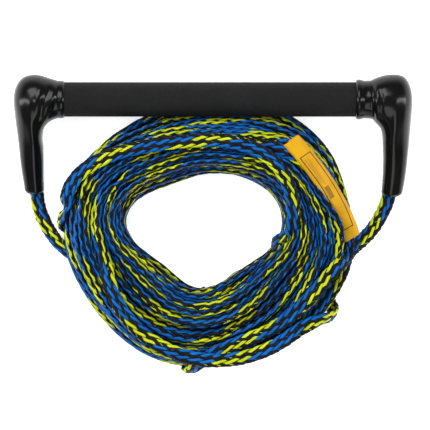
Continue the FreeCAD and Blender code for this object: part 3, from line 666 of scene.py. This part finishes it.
def yarn(name, dark, mid, light, rough=0.42, sheen=0.25):
    """Polypropylene braid strand: fine filaments along the strand, with slow changes of tone."""
    m, nt, p = material(name)
    at_ = nt.nodes.new("ShaderNodeAttribute")
    at_.attribute_name = "lay"
    sep = nt.nodes.new("ShaderNodeSeparateXYZ")
    nt.links.new(at_.outputs["Vector"], sep.inputs[0])
    # filaments: noise stretched along the strand
    comb = nt.nodes.new("ShaderNodeCombineXYZ")
    mul = nt.nodes.new("ShaderNodeMath"); mul.operation = "MULTIPLY"; mul.inputs[1].default_value = 60.0
    nt.links.new(sep.outputs[0], mul.inputs[0])
    nt.links.new(mul.outputs[0], comb.inputs[0])
    mul2 = nt.nodes.new("ShaderNodeMath"); mul2.operation = "MULTIPLY"; mul2.inputs[1].default_value = 9.0
    nt.links.new(sep.outputs[1], mul2.inputs[0])
    nt.links.new(mul2.outputs[0], comb.inputs[1])
    mul3 = nt.nodes.new("ShaderNodeMath"); mul3.operation = "MULTIPLY"; mul3.inputs[1].default_value = 3.7
    nt.links.new(sep.outputs[2], mul3.inputs[0])
    nt.links.new(mul3.outputs[0], comb.inputs[2])
    fil = nt.nodes.new("ShaderNodeTexNoise")
    fil.inputs["Scale"].default_value = 1.0
    fil.inputs["Detail"].default_value = 3.0
    nt.links.new(comb.outputs[0], fil.inputs["Vector"])
    geo = nt.nodes.new("ShaderNodeTexCoord")
    slow = nt.nodes.new("ShaderNodeTexNoise")
    slow.inputs["Scale"].default_value = 90.0
    slow.inputs["Detail"].default_value = 2.0
    nt.links.new(geo.outputs["Object"], slow.inputs["Vector"])
    mix = nt.nodes.new("ShaderNodeMath"); mix.operation = "MULTIPLY_ADD"; mix.inputs[1].default_value = 0.65
    nt.links.new(fil.outputs[0], mix.inputs[0])
    m4 = nt.nodes.new("ShaderNodeMath"); m4.operation = "MULTIPLY"; m4.inputs[1].default_value = 0.35
    nt.links.new(slow.outputs[0], m4.inputs[0])
    nt.links.new(m4.outputs[0], mix.inputs[2])
    r = ramp(nt, [(0.30, dark), (0.5, mid), (0.72, light)])
    nt.links.new(mix.outputs[0], r.inputs[0])
    nt.links.new(r.outputs[0], p.inputs["Base Color"])
    p.inputs["Roughness"].default_value = rough
    p.inputs["Sheen Weight"].default_value = sheen
    p.inputs["Sheen Roughness"].default_value = 0.4
    p.inputs["Specular IOR Level"].default_value = 0.10
    b = nt.nodes.new("ShaderNodeBump")
    b.inputs["Strength"].default_value = 0.35
    b.inputs["Distance"].default_value = 0.0002
    nt.links.new(fil.outputs[0], b.inputs["Height"])
    nt.links.new(b.outputs[0], p.inputs["Normal"])
    return m


M_BLUE = yarn("braid_blue", (0.0005, 0.045, 0.20), (0.0008, 0.115, 0.43), (0.0015, 0.20, 0.66), sheen=0.0)
M_YELL = yarn("braid_yellow", (0.26, 0.32, 0.002), (0.52, 0.62, 0.006), (0.74, 0.84, 0.02), sheen=0.03)
M_BLAK = yarn("braid_charcoal", (0.002, 0.002, 0.003), (0.0065, 0.006, 0.0072), (0.021, 0.018, 0.022), rough=0.5, sheen=0.02)

# painted shade: the sleeve under the strands is near black, standing in for the shade inside the hollow braid seen
# through the gaps between strands
m, nt, p = material("braid_core")
tc = nt.nodes.new("ShaderNodeTexCoord")
nz = nt.nodes.new("ShaderNodeTexNoise"); nz.inputs["Scale"].default_value = 400
nt.links.new(tc.outputs["Object"], nz.inputs["Vector"])
r = ramp(nt, [(0.3, (0.004, 0.004, 0.006)), (0.7, (0.016, 0.016, 0.022))])
nt.links.new(nz.outputs[0], r.inputs[0])
nt.links.new(r.outputs[0], p.inputs["Base Color"])
p.inputs["Roughness"].default_value = 0.8
M_GAP_SHADE = m

ROPE_PIECES = []


def lay_attr(ob, along):
    at_ = ob.data.attributes.new("lay", "FLOAT_VECTOR", "POINT")
    at_.data.foreach_set("vector", np.ascontiguousarray(along, dtype=np.float32).ravel())


def braided(prefix, L, groups, wid=(1.44, 1.20)):
    # the sleeve inside the strands carries painted shade for the gaps between them
    shade_sleeve = sleeve(prefix + "_core", L, M_GAP_SHADE)
    out = []
    for name, mat, hand, which in groups:
        V, F, al = strands(L, which, hand, wid[0] if hand > 0 else wid[1])
        ob = mesh_from(prefix + "_" + name, V, F, [mat])
        lay_attr(ob, al)
        out.append(ob)
    return shade_sleeve, out


main_shade_sleeve, main_strands = braided("line", L_MAIN, [
    ("charcoal_a", M_BLAK, 1, [0, 1]), ("charcoal_b", M_BLAK, 1, [2, 3]), ("charcoal_c", M_BLAK, 1, [4, 5]), ("charcoal_d", M_BLAK, 1, [6, 7]),
    ("blue_a", M_BLUE, -1, [0, 1]), ("blue_b", M_BLUE, -1, [2, 3]), ("blue_c", M_BLUE, -1, [4]), ("yellow_a", M_YELL, -1, [5, 6]), ("yellow_b", M_YELL, -1, [7])])
left_shade_sleeve, left_strands = braided("leg_left", L_LEFT, [("charcoal", M_BLAK, 1, range(8)), ("blue", M_BLUE, -1, [0, 1, 2, 3, 4]), ("yellow", M_YELL, -1, [5, 6, 7])])
right_shade_sleeve, right_strands = braided("leg_right", L_RIGHT, [("charcoal", M_BLAK, 1, range(8)), ("blue", M_BLUE, -1, [0, 1, 2, 3, 4]), ("yellow", M_YELL, -1, [5, 6, 7])])

for ob in [main_shade_sleeve] + main_strands:
    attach(ob, "coil")
for ob in [left_shade_sleeve] + left_strands:
    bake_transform(ob)
for ob in [right_shade_sleeve] + right_strands:
    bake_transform(ob)


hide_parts("rope_coil", "tagged_turn", "tow_loop")
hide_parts("bridle_leg_left", "bridle_eye_left")
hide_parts("bridle_leg_right", "bridle_eye_right")

# ---------------------------------------------------------------- label
LC = np.array([92.9, -41.4, 45.4])
la = math.radians(-56.4)
sl = math.radians(8.5)
D3 = np.array([math.cos(la) * math.cos(sl), math.sin(la) * math.cos(sl), -math.sin(sl)])
S3 = np.cross(D3, UP); S3 /= np.linalg.norm(S3)
N3 = np.cross(S3, D3)


def label_mesh():
    """Flattened vinyl sleeve, open at both ends, slightly bowed over the turns."""
    LEN, HW = 96.0, 7.9
    nu, nv = 64, 96
    V, flat = [], []
    for wall in (0, 1):
        for iu in range(nu + 1):
            s = (iu / nu - 0.5) * LEN
            e = abs(s) / (LEN / 2)
            bow = 1.4 * (1 - (2 * s / LEN) ** 2)
            hw = HW * (1 - 0.02 * e)
            roll = math.radians(label_roll(s))
            Sx = S3 * math.cos(roll) + N3 * math.sin(roll)
            Nx = np.cross(Sx, D3)
            th = 3.0 + 0.5 * (s < 0) * np.clip((-s - 20) / 26, 0, 1) ** 1.5 + 0.25 * math.sin(s * 0.13) + 0.6 * min(max((s - 22) / 22, 0), 1)
            hw -= wall * 0.45
            th -= wall * 0.45
            for iv in range(nv):
                a = 2 * math.pi * iv / nv
                ca, sa = math.cos(a), math.sin(a)
                # flat pocket with folded edges
                xx = hw * np.sign(ca) * abs(ca) ** 0.55
                zz = th * np.sign(sa) * abs(sa) ** 0.75 * (1 - 0.25 * (xx / hw) ** 4)
                zz += 0.35 * math.sin(s * 0.09 + xx * 0.35)
                V.append(LC + s * D3 + xx * Sx + (zz + bow) * Nx + (LABEL_BOW * e * e + 2.2 * max(s / 48, 0) ** 3) * S3)
                flat.append((xx, s, zz + bow))
    V = np.array(V)
    F = []
    lay = (nu + 1) * nv
    for iu in range(nu):
        for iv in range(nv):
            a0 = iu * nv + iv
            a1 = iu * nv + (iv + 1) % nv
            F.append((a0, a1, a1 + nv, a0 + nv))
            F.append((lay + a0, lay + a0 + nv, lay + a1 + nv, lay + a1))
    for iv in range(nv):
        a0, a1 = iv, (iv + 1) % nv
        F.append((a1, a0, lay + a0, lay + a1))
        b0, b1 = nu * nv + iv, nu * nv + (iv + 1) % nv
        F.append((b0, b1, lay + b1, lay + b0))
    me_ob = mesh_from("label", V * MM, np.array(F), [])
    # flat coordinates of the printed side, in millimetres
    cs = np.array(flat)
    at_ = me_ob.data.attributes.new("print", "FLOAT_VECTOR", "POINT")
    at_.data.foreach_set("vector", np.ascontiguousarray(cs, dtype=np.float32).ravel())
    return me_ob


label = label_mesh()
m, nt, p = material("label_vinyl")
at_ = nt.nodes.new("ShaderNodeAttribute"); at_.attribute_name = "print"
sep = nt.nodes.new("ShaderNodeSeparateXYZ")
nt.links.new(at_.outputs["Vector"], sep.inputs[0])


def math_node(nt, op, a, b=None, c=None):
    n = nt.nodes.new("ShaderNodeMath")
    n.operation = op
    for i, v in enumerate((a, b, c)):
        if v is None:
            continue
        if isinstance(v, (int, float)):
            n.inputs[i].default_value = v
        else:
            nt.links.new(v, n.inputs[i])
    return n.outputs[0]


def box_mask(nt, x, y, cx, cy, hx, hy, soft=0.12):
    """1 inside a rectangle."""
    ax = math_node(nt, "ABSOLUTE", math_node(nt, "SUBTRACT", x, cx))
    ay = math_node(nt, "ABSOLUTE", math_node(nt, "SUBTRACT", y, cy))
    mx = math_node(nt, "MULTIPLY", math_node(nt, "SUBTRACT", hx, ax), 1 / soft)
    my = math_node(nt, "MULTIPLY", math_node(nt, "SUBTRACT", hy, ay), 1 / soft)
    mn = math_node(nt, "MINIMUM", mx, my)
    n = nt.nodes.new("ShaderNodeClamp")
    nt.links.new(mn, n.inputs[0])
    return n.outputs[0]


X, Y, Zz = sep.outputs[0], sep.outputs[1], sep.outputs[2]
fr = math_node(nt, "SUBTRACT", box_mask(nt, X, Y, 0, 3.5, 5.3, 35.5), box_mask(nt, X, Y, 0, 3.5, 4.6, 34.8))
lines = None
for k in range(4):
    q = box_mask(nt, X, Y, 0.2 + 1.2 * k, (-15.0, -13.0, -16.5, 8.0)[k], 0.22, (13.0, 10.0, 12.0, 20.0)[k])
    lines = q if lines is None else math_node(nt, "MAXIMUM", lines, q)
blk = box_mask(nt, X, Y, 1.2, 5.0, 2.1, 5.6)
inkm = math_node(nt, "MAXIMUM", fr, math_node(nt, "MULTIPLY", lines, 0.7))
inkm = math_node(nt, "MAXIMUM", inkm, math_node(nt, "MULTIPLY", blk, 0.6))
up = math_node(nt, "GREATER_THAN", Zz, 0.4)
inkm = math_node(nt, "MULTIPLY", inkm, up)
tc = nt.nodes.new("ShaderNodeTexCoord")
nz = nt.nodes.new("ShaderNodeTexNoise"); nz.inputs["Scale"].default_value = 55; nz.inputs["Detail"].default_value = 4
nt.links.new(tc.outputs["Object"], nz.inputs["Vector"])
yr = ramp(nt, [(0.3, (0.56, 0.275, 0.002)), (0.55, (0.66, 0.345, 0.003)), (0.75, (0.72, 0.385, 0.006))])
nt.links.new(nz.outputs[0], yr.inputs[0])
mx = nt.nodes.new("ShaderNodeMixRGB")
nt.links.new(inkm, mx.inputs[0])
nt.links.new(yr.outputs[0], mx.inputs[1])
mx.inputs[2].default_value = (0.018, 0.014, 0.010, 1)
nt.links.new(mx.outputs[0], p.inputs["Base Color"])
p.inputs["Roughness"].default_value = 0.42
p.inputs["Specular IOR Level"].default_value = 0.22
b = nt.nodes.new("ShaderNodeBump"); b.inputs["Strength"].default_value = 0.25; b.inputs["Distance"].default_value = 0.0006
n2 = nt.nodes.new("ShaderNodeTexNoise"); n2.inputs["Scale"].default_value = 140; n2.inputs["Detail"].default_value = 2
nt.links.new(tc.outputs["Object"], n2.inputs["Vector"])
nt.links.new(n2.outputs[0], b.inputs["Height"]); nt.links.new(b.outputs[0], p.inputs["Normal"])
label.data.materials.append(m)
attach(label, "coil")
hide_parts("label_sleeve")

# ---------------------------------------------------------------- CAD nodes that stay, with their finishes
m, nt, p = material("grip_foam")
tc = nt.nodes.new("ShaderNodeTexCoord")
v = nt.nodes.new("ShaderNodeTexVoronoi"); v.inputs["Scale"].default_value = 1400
nt.links.new(tc.outputs["Object"], v.inputs["Vector"])
n1 = nt.nodes.new("ShaderNodeTexNoise"); n1.inputs["Scale"].default_value = 900; n1.inputs["Detail"].default_value = 4
nt.links.new(tc.outputs["Object"], n1.inputs["Vector"])
n3 = nt.nodes.new("ShaderNodeTexNoise"); n3.inputs["Scale"].default_value = 35; n3.inputs["Detail"].default_value = 3
nt.links.new(tc.outputs["Object"], n3.inputs["Vector"])
s1 = math_node(nt, "ADD", math_node(nt, "MULTIPLY", n1.outputs[0], 0.6), math_node(nt, "MULTIPLY", n3.outputs[0], 0.4))
r = ramp(nt, [(0.3, (0.0045, 0.0045, 0.005)), (0.5, (0.0085, 0.0085, 0.009)), (0.7, (0.015, 0.015, 0.016))])
nt.links.new(s1, r.inputs[0]); nt.links.new(r.outputs[0], p.inputs["Base Color"])
rr = nt.nodes.new("ShaderNodeMapRange"); rr.inputs[3].default_value = 0.72; rr.inputs[4].default_value = 0.9
nt.links.new(n3.outputs[0], rr.inputs[0]); nt.links.new(rr.outputs[0], p.inputs["Roughness"])
b = nt.nodes.new("ShaderNodeBump"); b.inputs["Strength"].default_value = 0.8; b.inputs["Distance"].default_value = 0.0004
nt.links.new(math_node(nt, "ADD", v.outputs["Distance"], n1.outputs[0]), b.inputs["Height"]); nt.links.new(b.outputs[0], p.inputs["Normal"])
p.inputs["Specular IOR Level"].default_value = 0.2
M_GRIP = m

m, nt, p = material("cap_vinyl")
tc = nt.nodes.new("ShaderNodeTexCoord")
n1 = nt.nodes.new("ShaderNodeTexNoise"); n1.inputs["Scale"].default_value = 45; n1.inputs["Detail"].default_value = 3
nt.links.new(tc.outputs["Object"], n1.inputs["Vector"])
r = ramp(nt, [(0.3, (0.0012, 0.0012, 0.0015)), (0.7, (0.0030, 0.0030, 0.0034))])
nt.links.new(n1.outputs[0], r.inputs[0]); nt.links.new(r.outputs[0], p.inputs["Base Color"])
rr = nt.nodes.new("ShaderNodeMapRange"); rr.inputs[3].default_value = 0.13; rr.inputs[4].default_value = 0.24
nt.links.new(n1.outputs[0], rr.inputs[0]); nt.links.new(rr.outputs[0], p.inputs["Roughness"])
b = nt.nodes.new("ShaderNodeBump"); b.inputs["Strength"].default_value = 0.2; b.inputs["Distance"].default_value = 0.0008
nt.links.new(n1.outputs[0], b.inputs["Height"]); nt.links.new(b.outputs[0], p.inputs["Normal"])
p.inputs["IOR"].default_value = 1.34
p.inputs["Specular IOR Level"].default_value = 0.5
M_CAP = m

m, nt, p = material("tube_aluminium")
tc = nt.nodes.new("ShaderNodeTexCoord")
n1 = nt.nodes.new("ShaderNodeTexNoise"); n1.inputs["Scale"].default_value = 300
nt.links.new(tc.outputs["Object"], n1.inputs["Vector"])
r = ramp(nt, [(0.3, (0.55, 0.56, 0.58)), (0.7, (0.75, 0.76, 0.78))])
nt.links.new(n1.outputs[0], r.inputs[0]); nt.links.new(r.outputs[0], p.inputs["Base Color"])
p.inputs["Metallic"].default_value = 1.0
p.inputs["Roughness"].default_value = 0.35
M_TUBE = m

TILT = math.radians(13.35)
BAR = np.array([0.0, 30.30, 26.98])
FILL_X, FILL_R, FILL_W = 148.6, 18.25, 11.8


def moulded_cap(side):
    """The soft moulded elbow: the CAD cap's own surface, evened out, with its folds, parting line and rolled ends."""
    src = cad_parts["end_cap_" + side]
    skin = bmesh.new()
    skin.from_mesh(src.data)
    # the room round the bar is filled in, so that the thin places of the wall stay closed
    sx = 1 if side == "right" else -1
    turn = Matrix.Translation(Vector(BAR) * MM) @ Matrix.Rotation(TILT, 4, "X") @ Matrix.Translation((sx * FILL_X * MM, 0, 0)) @ Matrix.Rotation(math.pi / 2, 4, "Y")
    bmesh.ops.create_cone(skin, cap_ends=True, segments=72, radius1=FILL_R * MM, radius2=FILL_R * MM, depth=FILL_W * MM, matrix=turn)
    body = bpy.data.meshes.new("tmp_cap")
    skin.to_mesh(body)
    skin.free()
    tmp = bpy.data.objects.new("tmp_cap", body)
    bpy.context.scene.collection.objects.link(tmp)
    md = tmp.modifiers.new("even", "REMESH")
    md.mode = "VOXEL"
    md.voxel_size = 0.00075
    ms = tmp.modifiers.new("ease", "SMOOTH")
    ms.factor = 0.5
    ms.iterations = 26
    bpy.context.view_layer.update()
    me = bpy.data.meshes.new_from_object(tmp.evaluated_get(bpy.context.evaluated_depsgraph_get()))
    bpy.data.objects.remove(tmp)
    n = len(me.vertices)
    co = np.zeros(n * 3)
    me.vertices.foreach_get("co", co)
    co = co.reshape(-1, 3) / MM
    no = np.zeros(n * 3)
    me.vertex_normals.foreach_get("vector", no)
    no = no.reshape(-1, 3)
    # into the handle's own plane
    q = co - BAR
    c, s_ = math.cos(TILT), math.sin(TILT)
    y = q[:, 1] * c + q[:, 2] * s_
    z = -q[:, 1] * s_ + q[:, 2] * c
    ny = no[:, 1] * c + no[:, 2] * s_
    nz = -no[:, 1] * s_ + no[:, 2] * c
    x = np.abs(q[:, 0])
    k = 1.0 if side == "right" else 0.0
    # distance from the bar's axis and from the leg's axis, to leave the bores alone
    rb = np.hypot(y, z)
    lx0, lx1 = (151.9, 148.7) if side == "right" else (151.6, 148.5)
    leg_y0, leg_y1 = -31.2, -79.5
    tt = np.clip((leg_y0 - y) / (leg_y0 - leg_y1), -0.2, 1.1)
    ax = lx0 + (lx1 - lx0) * np.clip((0 - y) / 79.0, 0, 1.2)
    rl = np.hypot(x - ax, z)
    outer = np.clip((rb - 13.6) / 1.0, 0, 1) * np.where(y < -10, np.clip((rl - 7.2) / 0.8, 0, 1), 1)
    outer = np.where(x > 159.2, 1.0, outer)
    face = np.clip((np.abs(nz) - 0.15) / 0.5, 0, 1)

    def ridge(d, w):
        return np.exp(-(d / w) ** 2)

    d = np.zeros(n)
    # folds where the elbow meets the collar
    if side == "left":
        folds = [(135.0, -0.42, 2.3, 0.70, 1.0), (139.8, -0.30, 2.4, -1.0, 1.0), (144.6, -0.16, 2.6, 0.55, 1.1), (130.4, -0.30, 2.4, -0.6, 1.0)]
    else:
        folds = [(131.3, -0.02, 1.7, -1.15, 1.3), (135.0, -0.04, 1.8, 0.55, 0.9), (138.4, -0.06, 1.9, -0.65, 0.8)]
    for x0, lean, w, amp, reach in folds:
        xc = x0 + lean * (y + 2) + 0.6 * np.sin(y * 0.32 + x0)
        span = ridge(np.maximum(np.abs(y + 1) - 9 * reach, 0), 6.0)
        d += amp * ridge(x - xc, w) * span * (face if amp > -0.9 else np.maximum(face, 0.75))
    # long soft ridge down the leg, and a flatter band beside it
    lean = np.clip((4 - y) / 14, 0, 1)
    d += 0.42 * ridge(x - (ax - 1.6), 2.0) * lean * face * (y < 12)
    d -= 0.30 * ridge(x - (ax + 3.4), 2.4) * lean * face * (y < 12)
    # parting line
    d += 0.24 * ridge(z + 0.0, 0.62) * np.clip((np.hypot(ny, no[:, 0]) - 0.8) / 0.15, 0, 1) * (x > 141)
    # shallow unevenness of the dipped skin
    for a, b_, c_, ph, am in ((0.21, 0.13, 0.17, 0.4, 0.07), (0.11, 0.21, 0.15, 3.1, 0.05)):
        d += am * np.sin(a * q[:, 0] + ph) * np.sin(b_ * y + 2 * ph) * np.cos(c_ * z + ph + k)
    d *= outer
    # rolled lip at the collar's mouth
    mouth = 119.1 if side == "right" else 123.5
    t = x - mouth
    d += outer * (0.28 * ridge(t - 1.8, 1.2) - 0.22 * ridge(t - 5.2, 1.6) * (rb < 19))
    co = co + d[:, None] * no
    # the mouth closes over the end of the grip
    co[:, 0] -= np.sign(q[:, 0]) * 1.4 * np.clip((5 - t) / 5, 0, 1) ** 1.5
    # rounded end of the leg
    y_end = y.min()
    e = y - y_end
    inside = np.clip((3.4 - e) / 3.4, 0, 1) ** 2.2 * (rl > 6.3)
    pull = inside * 1.5
    dirx = (x - ax) / np.maximum(rl, 1e-6) * np.sign(q[:, 0])
    dz = z / np.maximum(rl, 1e-6)
    co[:, 0] -= pull * dirx * np.clip((rl - 6.3) / 2, 0, 1)
    co[:, 1] -= -pull * dz * np.clip((rl - 6.3) / 2, 0, 1) * s_ * 1.0
    co[:, 2] -= pull * dz * np.clip((rl - 6.3) / 2, 0, 1) * c
    me.vertices.foreach_set("co", np.ascontiguousarray(co * MM, dtype=np.float32).ravel())
    me.polygons.foreach_set("use_smooth", np.ones(len(me.polygons), dtype=bool))
    me.update()
    me.materials.clear()
    me.materials.append(M_CAP)
    ob = bpy.data.objects.new("cap_" + side, me)
    bpy.context.scene.collection.objects.link(ob)
    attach(ob, "handle")
    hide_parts("end_cap_" + side)
    return ob


cap_left = moulded_cap("left")
cap_right = moulded_cap("right")

for name, mat in (("grip_sleeve", M_GRIP), ("core_tube", M_TUBE), ("end_plug_left", M_CAP), ("end_plug_right", M_CAP)):
    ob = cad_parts[name]
    for s_ in ob.material_slots:
        s_.material = mat

# ---------------------------------------------------------------- floor and light
me = bpy.data.meshes.new("floor")
me.from_pydata([(-3, -3, 0), (3, -3, 0), (3, 3, 0), (-3, 3, 0)], [], [(0, 1, 2, 3)])
floor_ob = bpy.data.objects.new("floor", me)
bpy.context.scene.collection.objects.link(floor_ob)
floor_ob.location = (0, 0, -0.0002)
m, nt, p = material("floor_white")
p.inputs["Base Color"].default_value = (0.9, 0.9, 0.9, 1)
p.inputs["Roughness"].default_value = 0.9
p.inputs["Emission Color"].default_value = (1, 1, 1, 1)
p.inputs["Emission Strength"].default_value = 0.65
me.materials.append(m)


def area(name, loc, size, power, target=(0, -0.06, 0.02), sy=None):
    d = bpy.data.lights.new(name, "AREA")
    d.energy = power
    d.size = size
    if sy:
        d.shape = "RECTANGLE"
        d.size_y = sy
    o = bpy.data.objects.new(name, d)
    o.location = loc
    o.rotation_euler = (Vector(target) - Vector(loc)).to_track_quat("-Z", "Y").to_euler()
    bpy.context.scene.collection.objects.link(o)
    return o


area("key", (-0.35, 0.75, 1.35), 1.0, 16.5)
area("fill_right", (1.25, 0.0, 0.8), 0.22, 9.5, sy=1.6)
area("fill_left", (-1.25, 0.0, 0.8), 0.22, 9.5, sy=1.6)
area("front", (0.1, -1.1, 1.2), 1.0, 7.5)
w = bpy.data.worlds.new("world")
bpy.context.scene.world = w
w.use_nodes = True
w.node_tree.nodes["Background"].inputs[0].default_value = (1, 1, 1, 1)
wt = w.node_tree
wc = wt.nodes.new("ShaderNodeTexCoord")
ws = wt.nodes.new("ShaderNodeSeparateXYZ")
wt.links.new(wc.outputs["Generated"], ws.inputs[0])
wm = wt.nodes.new("ShaderNodeMapRange")
wm.inputs[1].default_value, wm.inputs[2].default_value = 0.10, 0.30
wm.inputs[3].default_value, wm.inputs[4].default_value = 1.0, 0.24
wt.links.new(ws.outputs[2], wm.inputs[0])
wt.links.new(wm.outputs[0], wt.nodes["Background"].inputs[1])
bpy.context.scene.view_settings.view_transform = "Standard"
